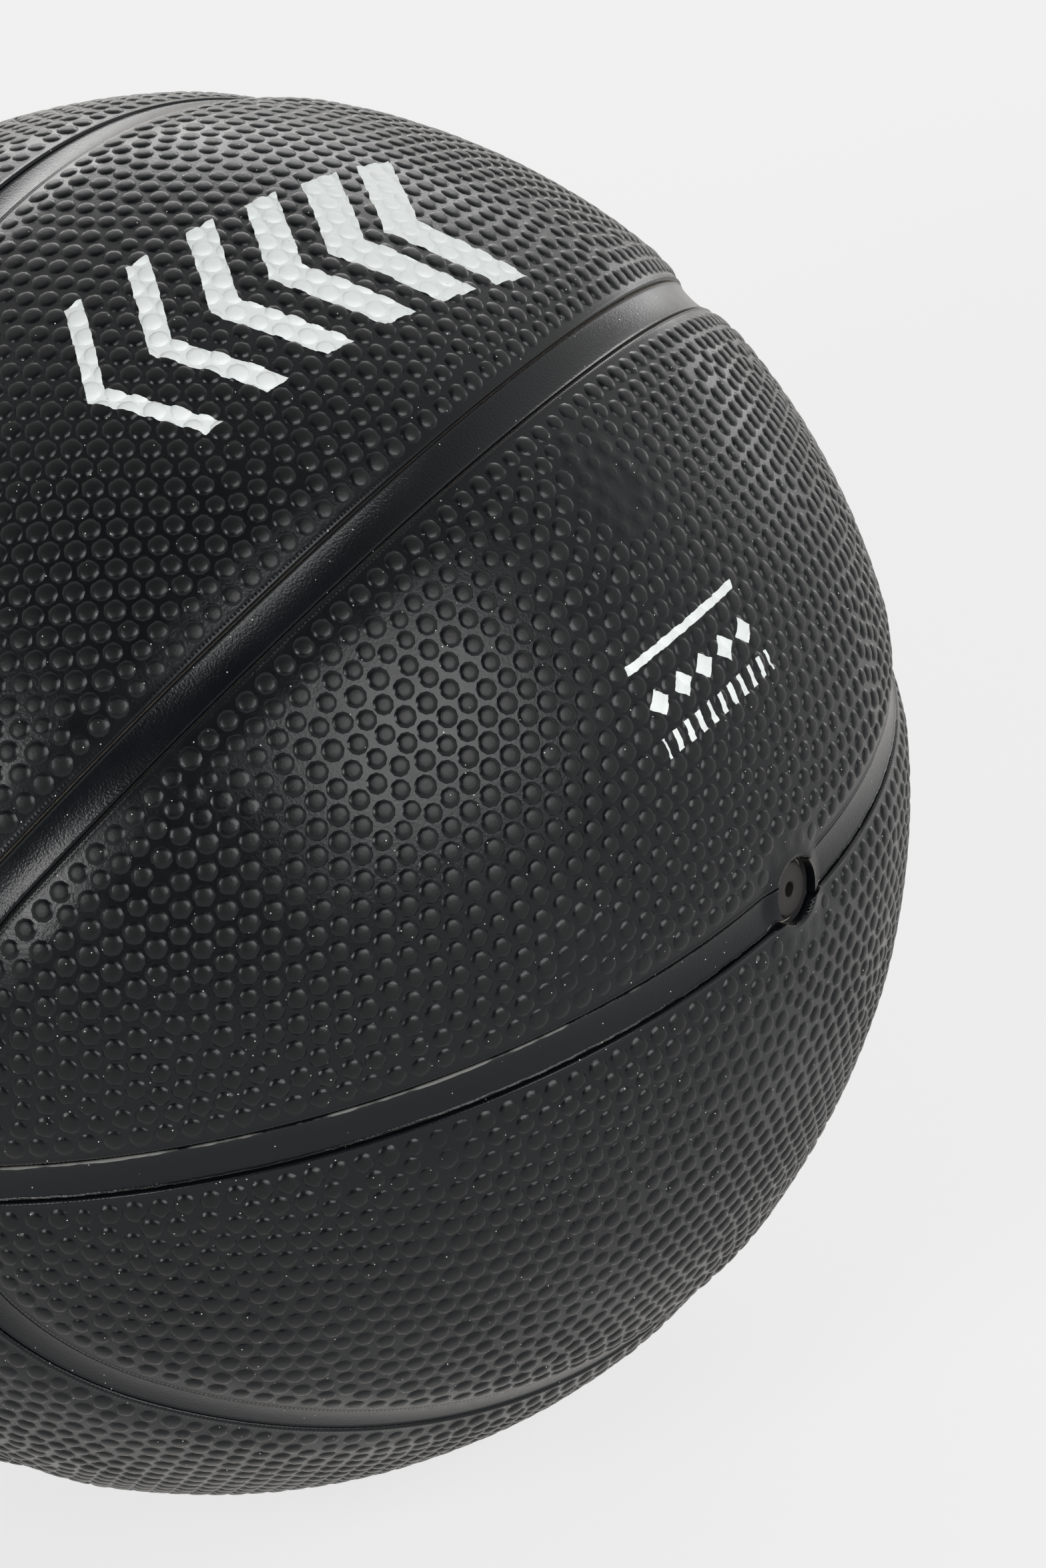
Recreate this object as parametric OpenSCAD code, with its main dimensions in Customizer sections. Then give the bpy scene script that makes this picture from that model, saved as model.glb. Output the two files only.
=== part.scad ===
// Mini basketball: eight pebbled cover panels and eight seam strips bonded to a carcass,
// over a thread winding and a bladder with a needle valve.
// The origin is the ball's centre. +X goes out through the valve, the equator seam lies in the
// XY plane and the meridian seam in the YZ plane.

/* [Cover] */
// Diameter over the cover panels
ball_d = 178; // [140:1:250]
// Thickness of a cover panel
panel_t = 1.7; // [1.2:0.1:3]
// Thickness of a seam strip, which lies on the same bed as the panels
strip_t = 0.35; // [0.2:0.05:0.8]
// Width of a seam strip
strip_w = 4.8; // [3:0.1:7]
// Gap between a strip and the edge beside it
joint_gap = 0.15; // [0.05:0.05:0.4]
// Radius of the round nose of each loop seam, seen along Y
nose_r = 50; // [30:1:60]
// Angle of the loop seam's straight flanks from the equator, seen along Y
flank_angle = 45; // [40:1:50]

/* [Inner layers] */
// Thickness of the moulded carcass under the cover
carcass_t = 0.5; // [0.3:0.1:1.2]
// Thickness of the thread winding
winding_t = 0.4; // [0.3:0.1:1]
// Thickness of the bladder wall
bladder_t = 0.6; // [0.4:0.1:1.2]
// Bond line left between two layers
layer_gap = 0.15; // [0.1:0.05:0.3]

/* [Valve plug] */
// Diameter of the needle hole
needle_d = 1.8; // [1.4:0.1:2.4]
// Depth of the needle hole
needle_depth = 8; // [5:0.5:9]
// Diameter of the plug's barrel
plug_d = 4.9; // [4:0.1:6]
// Length of the plug, head and tip included
plug_l = 11; // [10.5:0.5:16]
// Diameter of the plug's head
head_d = 6.6; // [6.2:0.1:9]
// Thickness of the plug's head
head_t = 0.9; // [0.6:0.1:1.2]
// Length of the plug's tapered tip
tip_l = 1.2; // [0.5:0.1:1.5]
// Diameter of the plug's tip
tip_d = 3.6; // [3:0.1:3.9]

/* [Valve boot] */
// Clearance between the plug and the boot, on the radius
plug_clear = 0.05; // [0.02:0.01:0.1]
// Wall of the boot's collar round the plug's head
collar_wall = 0.5; // [0.4:0.1:1.2]
// Wall of the boot's stem round the plug's barrel
stem_wall = 2.3; // [1.5:0.1:3.5]
// Floor of the boot's stem
floor_t = 1.5; // [1:0.1:3]
// Room between the plug's tip and the floor
floor_gap = 0.5; // [0.3:0.1:1.5]
// Diameter of the air hole in the floor
air_hole_d = 1.2; // [0.8:0.1:2]
// Diameter of the boot's flange
flange_d = 26; // [18:1:36]
// Thickness of the boot's flange
flange_t = 1; // [0.6:0.1:2]
// Diameter of the reinforcing patch
patch_d = 32; // [20:1:44]
// Thickness of the reinforcing patch
patch_t = 0.5; // [0.3:0.1:1]
// Clearance round the boot's collar where it passes the layers, on the radius
hole_clear = 0.2; // [0.1:0.05:0.4]
// Depth of the boot's rim below the top of the seam strips
rim_sink = 0.25; // [0.1:0.05:0.3]

/* [Hidden] */
$fn = 96;

// Outer radius of each layer, from the cover inwards
ball_r = ball_d / 2;
bed_r = ball_r - panel_t;
strip_r = bed_r + strip_t;
carcass_r = bed_r - layer_gap;
winding_r = carcass_r - carcass_t - layer_gap;
bladder_r = winding_r - winding_t - layer_gap;
patch_r = bladder_r - bladder_t - layer_gap;
flange_r = patch_r - patch_t - layer_gap;

// Distance from a seam's middle to the edge of a strip and to the edge of a panel
strip_half = strip_w / 2;
edge_half = strip_half + joint_gap;
// Centre of the loop seam's nose on the X axis
nose_x = nose_r / sin(flank_angle);

// Stations of the valve out from the ball's centre, and the diameters that fit round one another
rim_at = strip_r - rim_sink;
seat_at = rim_at - head_t;
tip_at = rim_at - plug_l;
floor_at = tip_at - floor_gap;
stem_at = floor_at - floor_t;
seat_d = head_d + 2 * plug_clear;
bore_d = plug_d + 2 * plug_clear;
collar_d = seat_d + 2 * collar_wall;
stem_d = bore_d + 2 * stem_wall;
valve_hole_d = collar_d + 2 * hole_clear;

// How far a cutting shape runs past what it cuts
past = 1;
// How far the loop's flanks run inside the nose's tangent, so that each meets the arc at one clear point
flank_inset = 0.05;

rubber_black = [0.11, 0.115, 0.12];
strip_black = [0.08, 0.083, 0.088];
carcass_grey = [0.2, 0.2, 0.21];
thread_white = [0.82, 0.8, 0.74];
bladder_black = [0.14, 0.14, 0.14];
patch_red = [0.45, 0.2, 0.16];
boot_grey = [0.16, 0.165, 0.17];
plug_black = [0.07, 0.072, 0.075];

// A hollow ball
module shell(outer_r, wall) {
    difference() {
        sphere(r = outer_r);
        sphere(r = outer_r - wall);
    }
}

// Turns what is built up along Z so that it points out through the valve
module to_valve() {
    rotate([0, 90, 0]) children();
}

// A cylinder along Z between two stations
module rod(d, from, to) {
    translate([0, 0, from])
        cylinder(d = d, h = to - from);
}

// The hole that lets the boot's collar through a layer, along Z
module valve_hole() {
    rod(valve_hole_d, flange_r / 2, ball_r + past);
}

// A wedge that opens along X from a point on the X axis, in X and Z
module wedge(point_x, flank_l) {
    end = flank_l * [cos(flank_angle), sin(flank_angle)];
    translate([point_x, 0])
        polygon([[0, 0], [end[0], -end[1]], end]);
}

// The area inside the loop seam on the valve side, grown by a distance: a wedge with a round nose
module loop_area(grow) {
    arc_r = nose_r + grow;
    flank_r = arc_r - flank_inset;
    point_x = nose_x - flank_r / sin(flank_angle);
    difference() {
        wedge(point_x, 2 * ball_d);
        difference() {
            wedge(point_x, flank_r / tan(flank_angle));
            translate([nose_x, 0])
                circle(r = arc_r);
        }
    }
}

// The area above the equator strip, in X and Z
module upper_area() {
    translate([-ball_d, edge_half])
        square([2 * ball_d, ball_d]);
}

// An area in X and Z drawn out along Y through the whole ball
module through_y() {
    rotate([90, 0, 0])
        linear_extrude(height = ball_d + 2 * past, center = true)
            children();
}

// The panel between the equator seam and the loop seam, with the valve hole on the valve side
module upper_panel(valve) {
    difference() {
        intersection() {
            shell(ball_r, panel_t);
            through_y() intersection() {
                loop_area(-edge_half);
                upper_area();
            }
        }
        if (valve) to_valve() valve_hole();
    }
}

// The panel between the loop seam and the meridian seam
module top_panel() {
    intersection() {
        shell(ball_r, panel_t);
        through_y() difference() {
            translate([edge_half, edge_half])
                square(ball_d);
            loop_area(edge_half);
        }
    }
}

// The half of the loop seam's strip above the equator
module loop_strip() {
    intersection() {
        shell(strip_r, strip_t);
        through_y() intersection() {
            difference() {
                loop_area(strip_half);
                loop_area(-strip_half);
            }
            upper_area();
        }
    }
}

// The half of the equator strip on the +Y side, from the valve to the far side
module equator_strip() {
    difference() {
        intersection() {
            shell(strip_r, strip_t);
            translate([-ball_d, joint_gap / 2, -strip_half])
                cube([2 * ball_d, ball_d, strip_w]);
        }
        to_valve() valve_hole();
    }
}

// The half of the meridian strip above the equator
module meridian_strip() {
    intersection() {
        shell(strip_r, strip_t);
        through_y() intersection() {
            translate([-strip_half, 0])
                square([strip_w, ball_d]);
            upper_area();
        }
    }
}

// A closed layer with its valve hole
module layer(outer_r, wall) {
    to_valve() difference() {
        shell(outer_r, wall);
        valve_hole();
    }
}

// A round disc under the valve that follows the ball's curve, built up along Z
module curved_disc(d, outer_r, wall) {
    intersection() {
        shell(outer_r, wall);
        rod(d, outer_r / 2, ball_r + past);
    }
}

module far_side() { mirror([1, 0, 0]) children(); }
module below() { mirror([0, 0, 1]) children(); }
module left() { mirror([0, 1, 0]) children(); }

module valve_side_top_panel() { color(rubber_black) top_panel(); }
module valve_side_upper_panel() { color(rubber_black) upper_panel(true); }
module valve_side_lower_panel() { color(rubber_black) below() upper_panel(true); }
module valve_side_bottom_panel() { color(rubber_black) below() top_panel(); }
module far_side_top_panel() { color(rubber_black) far_side() top_panel(); }
module far_side_upper_panel() { color(rubber_black) far_side() upper_panel(false); }
module far_side_lower_panel() { color(rubber_black) far_side() below() upper_panel(false); }
module far_side_bottom_panel() { color(rubber_black) far_side() below() top_panel(); }

module equator_strip_left() { color(strip_black) left() equator_strip(); }
module equator_strip_right() { color(strip_black) equator_strip(); }
module meridian_strip_upper() { color(strip_black) meridian_strip(); }
module meridian_strip_lower() { color(strip_black) below() meridian_strip(); }
module valve_side_loop_upper() { color(strip_black) loop_strip(); }
module valve_side_loop_lower() { color(strip_black) below() loop_strip(); }
module far_side_loop_upper() { color(strip_black) far_side() loop_strip(); }
module far_side_loop_lower() { color(strip_black) far_side() below() loop_strip(); }

module carcass() { color(carcass_grey) layer(carcass_r, carcass_t); }
module winding() { color(thread_white) layer(winding_r, winding_t); }
module bladder() { color(bladder_black) layer(bladder_r, bladder_t); }

module valve_patch() {
    color(patch_red) to_valve() difference() {
        curved_disc(patch_d, patch_r, patch_t);
        valve_hole();
    }
}

// Flange against the patch, stem inwards and collar out to the seam strips, bored for the plug
module valve_boot() {
    color(boot_grey) to_valve() difference() {
        union() {
            curved_disc(flange_d, flange_r, flange_t);
            rod(stem_d, stem_at, flange_r - flange_t / 2);
            rod(collar_d, flange_r - flange_t, rim_at);
        }
        rod(seat_d, seat_at, rim_at + past);
        rod(bore_d, floor_at, rim_at);
        rod(air_hole_d, stem_at - past, floor_at + past);
    }
}

// Head, barrel and tapered tip with the blind needle hole
module valve_plug() {
    color(plug_black) to_valve() difference() {
        union() {
            rod(head_d, seat_at, rim_at);
            rod(plug_d, tip_at + tip_l, seat_at + head_t / 2);
            translate([0, 0, tip_at])
                cylinder(d1 = tip_d, d2 = plug_d, h = tip_l);
        }
        rod(needle_d, rim_at - needle_depth, rim_at + past);
    }
}

valve_side_top_panel();
valve_side_upper_panel();
valve_side_lower_panel();
valve_side_bottom_panel();
far_side_top_panel();
far_side_upper_panel();
far_side_lower_panel();
far_side_bottom_panel();
equator_strip_left();
equator_strip_right();
meridian_strip_upper();
meridian_strip_lower();
valve_side_loop_upper();
valve_side_loop_lower();
far_side_loop_upper();
far_side_loop_lower();
carcass();
winding();
bladder();
valve_patch();
valve_boot();
valve_plug();
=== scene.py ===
# Mini basketball in black moulded rubber: pebbled panels, smooth seam strips and a needle valve.
# Sizes in the dictionaries are millimetres and degrees, the studio's are metres. Meshes are in metres.
import math

import bpy
import numpy as np
from mathutils import Matrix, Vector
from mathutils.geometry import delaunay_2d_cdt


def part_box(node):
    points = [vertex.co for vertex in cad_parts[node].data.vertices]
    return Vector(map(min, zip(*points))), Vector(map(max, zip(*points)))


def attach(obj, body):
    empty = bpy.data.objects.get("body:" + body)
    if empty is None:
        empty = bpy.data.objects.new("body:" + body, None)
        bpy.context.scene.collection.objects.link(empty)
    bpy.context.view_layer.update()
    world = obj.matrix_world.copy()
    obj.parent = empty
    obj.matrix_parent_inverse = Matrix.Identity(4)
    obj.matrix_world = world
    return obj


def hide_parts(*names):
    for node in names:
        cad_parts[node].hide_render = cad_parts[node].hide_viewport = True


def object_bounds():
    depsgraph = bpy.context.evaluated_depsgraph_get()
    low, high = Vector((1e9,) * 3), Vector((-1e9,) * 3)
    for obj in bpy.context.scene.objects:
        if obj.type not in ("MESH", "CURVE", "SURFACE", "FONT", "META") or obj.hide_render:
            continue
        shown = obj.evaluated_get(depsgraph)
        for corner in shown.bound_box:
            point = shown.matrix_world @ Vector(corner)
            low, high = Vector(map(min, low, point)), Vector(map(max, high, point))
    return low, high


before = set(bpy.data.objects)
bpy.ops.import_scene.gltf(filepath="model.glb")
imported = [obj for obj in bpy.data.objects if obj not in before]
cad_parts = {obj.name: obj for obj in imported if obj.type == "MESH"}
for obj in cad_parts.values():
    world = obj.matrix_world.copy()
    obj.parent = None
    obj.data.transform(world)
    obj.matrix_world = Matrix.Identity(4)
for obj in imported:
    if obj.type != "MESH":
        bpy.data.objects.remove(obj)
cadLow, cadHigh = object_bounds()
mm = 0.001


def nodeRadii(node):
    points = np.array([v.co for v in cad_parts[node].data.vertices])
    lengths = np.linalg.norm(points, axis=1) / mm
    return lengths.min(), lengths.max()


# What the frame says about the ball's layers, in mm
bedRadius, ballRadius = nodeRadii("valve_side_top_panel")
stripRadius = nodeRadii("equator_strip_left")[1]
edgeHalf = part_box("valve_side_top_panel")[0].x / mm
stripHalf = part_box("equator_strip_left")[1].z / mm
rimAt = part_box("valve_plug")[1].x / mm
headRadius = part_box("valve_plug")[1].y / mm
print("frame: ball radius %.2f, bed %.2f, strips %.2f" % (ballRadius, bedRadius, stripRadius))

seams = {
    "noseRadius": 50.0,      # round nose of each loop seam, seen along Y
    "flankAngle": 45.0,      # its straight flanks, from the equator
    "valveHole": 4.05,       # radius of the hole round the valve
    "endGap": 0.075,         # half the gap where the two equator strips meet
    "linePoints": 300,       # points that a long line, a short one and the hole's are drawn through
    "shortPoints": 60,
    "holePoints": 40,
}
flank = math.radians(seams["flankAngle"])
noseX = seams["noseRadius"] / math.sin(flank)
tangentAt = seams["noseRadius"] / math.tan(flank)


# Camera at the photograph's angle, aimed so that the ball sits off centre in the frame
cameraSetup = {
    "azimuth": 43.585,
    "elevation": 27.505,
    "roll": -14.192,
    "distance": 667.5,
    "framePx": (1568.0, 2350.0),
    "focalPx": 7817.6,
    "ballCentrePx": (319.13, 1187.95),
    "sensor": 36.0,
}


def makeCamera(setup):
    azimuth = math.radians(setup["azimuth"])
    elevation = math.radians(setup["elevation"])
    roll = math.radians(setup["roll"])
    across = math.cos(elevation)
    back = Vector((math.sin(azimuth) * across, -math.cos(azimuth) * across, math.sin(elevation)))
    right = Vector((0, 0, 1)).cross(back).normalized()
    up = back.cross(right)
    turnedRight = right * math.cos(roll) + up * math.sin(roll)
    turnedUp = up * math.cos(roll) - right * math.sin(roll)
    turn = Matrix((turnedRight, turnedUp, back)).transposed()
    width, height = setup["framePx"]
    px, py = setup["ballCentrePx"]
    ray = Vector(((px - width / 2) / setup["focalPx"], (height / 2 - py) / setup["focalPx"], -1))
    aim = ray.rotation_difference(Vector((0, 0, -1))).to_matrix()
    bpy.ops.object.camera_add()
    camera = bpy.context.object
    camera.matrix_world = Matrix.Translation(back * setup["distance"] * mm) @ (turn @ aim).to_4x4()
    camera.data.sensor_width = setup["sensor"]
    camera.data.lens = setup["focalPx"] / height * setup["sensor"]
    camera.data.clip_start = 0.01
    camera.data.clip_end = 50
    bpy.context.scene.camera = camera
    return turnedRight, turnedUp, back


viewRight, viewUp, viewBack = makeCamera(cameraSetup)
print("camera set")


def unit(v):
    return v / np.linalg.norm(v, axis=-1, keepdims=True)


def direction(longitude, latitude):
    lon = math.radians(longitude)
    lat = math.radians(latitude)
    return np.array([math.cos(lon) * math.cos(lat), math.sin(lon) * math.cos(lat), math.sin(lat)])


def insideLoop(x, z):    # distance inside the loop seam's middle line, seen along Y
    z = np.abs(z)
    nose = seams["noseRadius"] - np.hypot(x - noseX, z)
    side = x * math.sin(flank) - z * math.cos(flank)
    return np.where(x * math.cos(flank) + z * math.sin(flank) < tangentAt, nose, side)


# Front half of a line beside the loop seam, from z = low to the rim
def loopPoints(radius, offset, low):
    count = seams["linePoints"]
    arcRadius = seams["noseRadius"] + offset
    angle = np.linspace(math.pi - math.asin(low / arcRadius), math.pi / 2 + flank, count)
    arc = np.stack([noseX + arcRadius * np.cos(angle), arcRadius * np.sin(angle)], 1)
    lineRadius = math.sqrt(radius ** 2 - offset ** 2)
    reach = lineRadius * np.sin(np.linspace(math.asin(tangentAt / lineRadius), math.pi / 2, count))
    side = np.stack([
        reach * math.cos(flank) - offset * math.sin(flank),
        reach * math.sin(flank) + offset * math.cos(flank)], 1)
    xz = np.concatenate([arc, side[1:]])
    y = -np.sqrt(np.maximum(radius ** 2 - (xz ** 2).sum(1), 0))
    return np.stack([xz[:, 0], y, xz[:, 1]], 1)


def runAlong(path):    # length of a line up to each of its points
    return np.concatenate([[0], np.cumsum(np.linalg.norm(np.diff(path, axis=0), axis=1))])


# Closed line at a distance inside the seams' middle lines
def panelOutline(top, valve, offset, spacing):
    radius = stripRadius
    edgeRadius = math.sqrt(radius ** 2 - offset ** 2)
    if top:
        angle = np.linspace(0, math.acos(offset / edgeRadius), seams["linePoints"])
        first = np.stack([
            np.full_like(angle, offset), -edgeRadius * np.sin(angle), edgeRadius * np.cos(angle)], 1)
        loop = loopPoints(radius, offset, offset)
        x = np.linspace(offset, loop[0, 0], seams["shortPoints"])[1:-1]
    else:
        loop = loopPoints(radius, -offset, offset)
        hole = seams["valveHole"] + offset - edgeHalf
        startY = math.sqrt(hole ** 2 - offset ** 2) if valve else 0.0
        angle = np.linspace(0, math.asin(startY / hole), seams["holePoints"])
        depth = np.full_like(angle, math.sqrt(radius ** 2 - hole ** 2))
        first = np.stack([depth, -hole * np.sin(angle), hole * np.cos(angle)], 1)
        if not valve:
            first = np.array([[edgeRadius, 0.0, offset]])
        start = math.asin(startY / edgeRadius)
        end = math.acos(loop[0, 0] / edgeRadius)
        x = edgeRadius * np.cos(np.linspace(start, end, seams["linePoints"])[1:-1])
    edge = np.stack([x, -np.sqrt(edgeRadius ** 2 - x ** 2), np.full_like(x, offset)], 1)
    front = np.concatenate([first, edge, loop])
    front[0, 1] = 0
    front[-1, 1] = 0
    path = np.concatenate([front, front[-2:0:-1] * [1, -1, 1], front[:1]])
    run = runAlong(path)
    count = int(run[-1] / spacing)
    at = np.linspace(0, run[-1], count, endpoint=False)
    return unit(np.stack([np.interp(at, run, path[:, k]) for k in range(3)], 1))


def seamDistance(top, points):    # from the panel's edges along the seams, for directions in its octant
    x, y, z = (points * stripRadius).T
    inside = insideLoop(x, z)
    if top:
        return np.minimum(np.minimum(x, z), -inside) - edgeHalf
    return np.minimum(z, inside) - edgeHalf


def holeDistance(points):    # from the edge of the valve hole
    return np.hypot(points[:, 1], points[:, 2]) * stripRadius - seams["valveHole"]


def edgeDistance(top, valve, points):
    distance = seamDistance(top, points)
    return np.minimum(distance, holeDistance(points)) if valve else distance


def smoothStep(x):
    x = np.clip(x, 0, 1)
    return x * x * (3 - 2 * x)


# Pebbled cover panels. Each is one moulded skin, so it is triangulated through its pebbles' rings:
# a rim and a field of domes that no chain of edit mode operators would join so closely.
panelShape = {
    "topMiddle": 67.5,       # latitude of a top panel's middle
    "upperMiddle": 22.5,     # and of an upper panel's
    "grain": 0.39,           # height of a pebble over the valleys
    "heightRange": (0.9, 1.0),
    "pitch": 2.95,
    "rows": 21,              # rows on each side of the panel's middle, cut off at its edges
    "jitter": 0.24,          # of the pitch, before the pebbles spread out
    "spread": 30,            # rounds of that
    "searchEvery": 20,       # rounds between two searches for each pebble's neighbours
    "searchReach": 2,        # how far they are looked for, in pitches
    "pushReach": 1.15,       # neighbours nearer than this, in pitches, push each other away
    "pushStep": 0.25,
    "startRoom": 0.62,       # from the edge row to the others, in pitches, before they spread
    "endRoom": 0.55,         # and after
    "pebbleRadius": 1.44,
    "radiusRange": (0.94, 1.05),
    "radiusShare": 0.475,    # most that a radius is of the distance to the nearest neighbour
    "leastRadius": 0.6,
    "shallowSize": (0.6, 0.8),    # shallow pebbles are also smaller: share at no height, and gain with it
    "rubFrom": 0.55,         # height from which its top is rubbed matte
    "faintest": 0.1,         # a pebble lower than this share of the grain is left out
    "crispFrom": 0.3,        # height from which its toe is a crisp line
    "edgePitch": 2.95,       # row of pebbles along the seams
    "edgeAt": 2.3,
    "edgeRadius": 1.36,
    "pillow": 5.0,           # width of the gentle slope towards the seams
    "pillowDrop": 0.62,
    "pillowPower": 1.2,
    "shoulder": 0.14,        # width of the sharp edge at the crevice
    "lip": 0.1,              # how far that edge drops below the strips
    "bead": 0.09,            # fine line of flash that stands along the edge
    "beadAt": 0.27,
    "beadWidth": 0.15,
    "collar": 3.0,           # width over which the pebbles fade towards the valve hole
    "collarBare": 1.9,       # width of the bare ring next to it
    "holeEdge": 0.4,         # rounding of the hole's edge
    "outlineStep": 0.55,
    "toeRoom": 0.12,         # between a pebble and the rows of points along the edge
    "bedStep": 6.0,          # grid of the inner face
    "bedReach": (1.5, 0.5),  # half its length and width, in radians
    "bedInset": 2.0,
    "smoothAngle": 60,
    "seed": 11,              # of the first panel
}
# Share of the pebble's radius, share of its height and sides of each ring
pebbleRings = ((0.42, 0.96, 8), (0.68, 0.79, 10), (0.87, 0.44, 10), (1.0, 0.0, 10))
shoulderRows = (0.02, 0.08, 0.16, 0.27, 0.38, 0.52, 0.8)
valleyRadius = ballRadius - panelShape["grain"]

# Spots where the mould had worn smooth: longitude, latitude, radius and how far the pebbles fade
wornSpots = (
    (-46.5, 27.0, 6.0, 0.65),
    (2.0, 36.0, 11.0, 0.7),
    (1.0, 34.5, 5.0, 0.7),
    (-10.0, 31.0, 7.0, 0.5),
    (-4.0, 21.0, 15.0, 0.55),
    (-22.0, 4.0, 9.0, 0.6),
    (-36.0, -4.5, 5.0, 0.6),
)
wornEvenness = (0.7, 1.0)
yAxis = np.array([0.0, 1.0, 0.0])
offAxis = [0.0, 1.0, 0.02]    # goes through no pebble
insideOnly = 1                # what a triangulation gives back
mergeWithin = 1e-5            # points of it nearer than this are one


def panelAxes(middle):    # out through the panel's middle, and up the ball from there
    centre = np.array([math.cos(middle), 0, math.sin(middle)])
    side = np.array([-math.sin(middle), 0, math.cos(middle)])
    return centre, side


def distances(points, others):
    return np.linalg.norm(points[:, None, :] - others[None, :, :], axis=2)


def layPebbles(top, valve, middle, rng):
    shape = panelShape
    centre, side = panelAxes(middle)
    edge = panelOutline(top, valve, edgeHalf + shape["edgeAt"], shape["edgePitch"])
    rows = []
    step = shape["pitch"] / ballRadius
    for k in range(-shape["rows"], shape["rows"] + 1):
        b = k * step * math.sqrt(3) / 2
        a = np.arange(-math.pi / 2, math.pi / 2, step / math.cos(b)) + (k % 2) * step / 2
        flat = np.outer(np.cos(a), centre) + np.outer(np.sin(a), yAxis)
        rows.append(flat * math.cos(b) + side * math.sin(b))
    free = np.concatenate(rows)
    free = unit(free + rng.normal(0, shape["jitter"] * step, free.shape))
    room = shape["edgeAt"] + shape["startRoom"] * shape["pitch"]
    free = free[edgeDistance(top, valve, free) > room]
    count = len(free)
    everyone = np.concatenate([free, edge])
    for k in range(shape["spread"]):    # spread the pebbles evenly between the edge rows
        if k % shape["searchEvery"] == 0:
            near = distances(everyone[:count], everyone) < shape["searchReach"] * step
            np.fill_diagonal(near, False)
            one, other = np.nonzero(near)
        gap = everyone[one] - everyone[other]
        length = np.linalg.norm(gap, axis=1) + 1e-9
        push = np.clip(1.0 - length / (shape["pushReach"] * step), 0, None) / length
        move = np.stack([np.bincount(one, gap[:, axis] * push, count) for axis in range(3)], 1)
        everyone[:count] = unit(everyone[:count] + shape["pushStep"] * step * move)
    free = everyone[:count]
    room = shape["edgeAt"] + shape["endRoom"] * shape["pitch"]
    free = free[edgeDistance(top, valve, free) > room]
    everyone = np.concatenate([free, edge])
    length = distances(everyone, everyone) * valleyRadius
    np.fill_diagonal(length, np.inf)
    size = np.full(len(everyone), shape["pebbleRadius"])
    size[len(free):] = shape["edgeRadius"]
    size *= rng.uniform(*shape["radiusRange"], len(size))
    size = np.minimum(size, shape["radiusShare"] * length.min(1))
    keep = size > shape["leastRadius"]
    return everyone[keep], size[keep]


# Long waves in how deep the mould's pebbles are
fadeWaves = {
    "lengths": (17.0, 23.0, 31.0, 44.0, 62.0), "level": 0.5, "share": 0.3, "depth": 0.22, "seed": 8}


def mouldFade(points):    # 0 where the pebbles are deep, 1 where they are shallow
    rng = np.random.default_rng(fadeWaves["seed"])
    total = np.zeros(len(points))
    for length in fadeWaves["lengths"]:
        axis = unit(rng.normal(0, 1, 3))
        total += np.sin(points @ axis * 2 * math.pi * ballRadius / length + rng.uniform(0, 2 * math.pi))
    return fadeWaves["level"] + fadeWaves["share"] * total


def pebbleHeights(centres, size, valve, signs, rng):
    shape = panelShape
    height = rng.uniform(*shape["heightRange"], len(size)) * np.minimum(1.0, size / shape["edgeRadius"])
    placed = centres * signs
    for lon, lat, reach, fade in wornSpots:
        far = np.linalg.norm(placed - direction(lon, lat), axis=1) * ballRadius
        height *= 1 - fade * np.exp(-(far / reach) ** 4) * rng.uniform(*wornEvenness, len(size))
    height *= 1 - fadeWaves["depth"] * smoothStep(mouldFade(placed))
    if valve:
        height *= np.clip((holeDistance(centres) - shape["collarBare"]) / shape["collar"], 0, 1)
    return height


# How far the valleys drop: a gentle slope to the seams, a bead along the edge, then its sharp end
def surfaceDrop(top, valve, points):
    shape = panelShape
    distance = seamDistance(top, points)
    slope = 1 - np.clip(distance / shape["pillow"], 0, 1)
    u = 1 - np.clip(distance / shape["shoulder"], 0, 1)
    depth = valleyRadius - stripRadius + shape["lip"] - shape["pillowDrop"]
    drop = shape["pillowDrop"] * slope ** shape["pillowPower"] + depth * (1 - np.sqrt(1 - u ** 2))
    drop -= shape["bead"] * np.exp(-((distance - shape["beadAt"]) / shape["beadWidth"]) ** 2)
    if valve:    # the seams run out in the ring that stands round the hole
        rim = holeDistance(points)
        drop *= smoothStep(rim / shape["collar"])
        drop += shape["holeEdge"] / 2 * (1 - np.clip(rim / shape["holeEdge"], 0, 1)) ** 2
    return drop


def flatten(points, middle):    # conformal map about the panel's middle great circle, in mm
    centre, side = panelAxes(middle)
    a = np.arctan2(points[:, 1], points @ centre)
    v = np.arctanh(points @ side)
    return np.stack([a, v], 1) * ballRadius


def triangulate(points, outlineCount, middle, lines=()):    # the lines stay edges
    flat = [Vector(p) for p in flatten(points, middle).tolist()]
    ring = list(range(outlineCount))
    found = delaunay_2d_cdt(flat, list(lines), [ring], insideOnly, mergeWithin, False)
    rim = np.array([flat[i] for i in ring])

    def belongs(face):    # a face that only touches the outline may lie outside it
        if max(face) >= outlineCount:
            return True
        return insideRing(rim, sum((flat[i] for i in face), Vector((0, 0))) / 3)

    return [face for face in found[2] if belongs(face)]


def insideRing(rim, point):    # crossing test
    start = rim - np.array(point)
    end = np.roll(start, -1, axis=0)
    crosses = (start[:, 1] > 0) != (end[:, 1] > 0)
    at = start[crosses, 0] - start[crosses, 1] * (end - start)[crosses, 0] / (end - start)[crosses, 1]
    return (at > 0).sum() % 2 == 1


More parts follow.
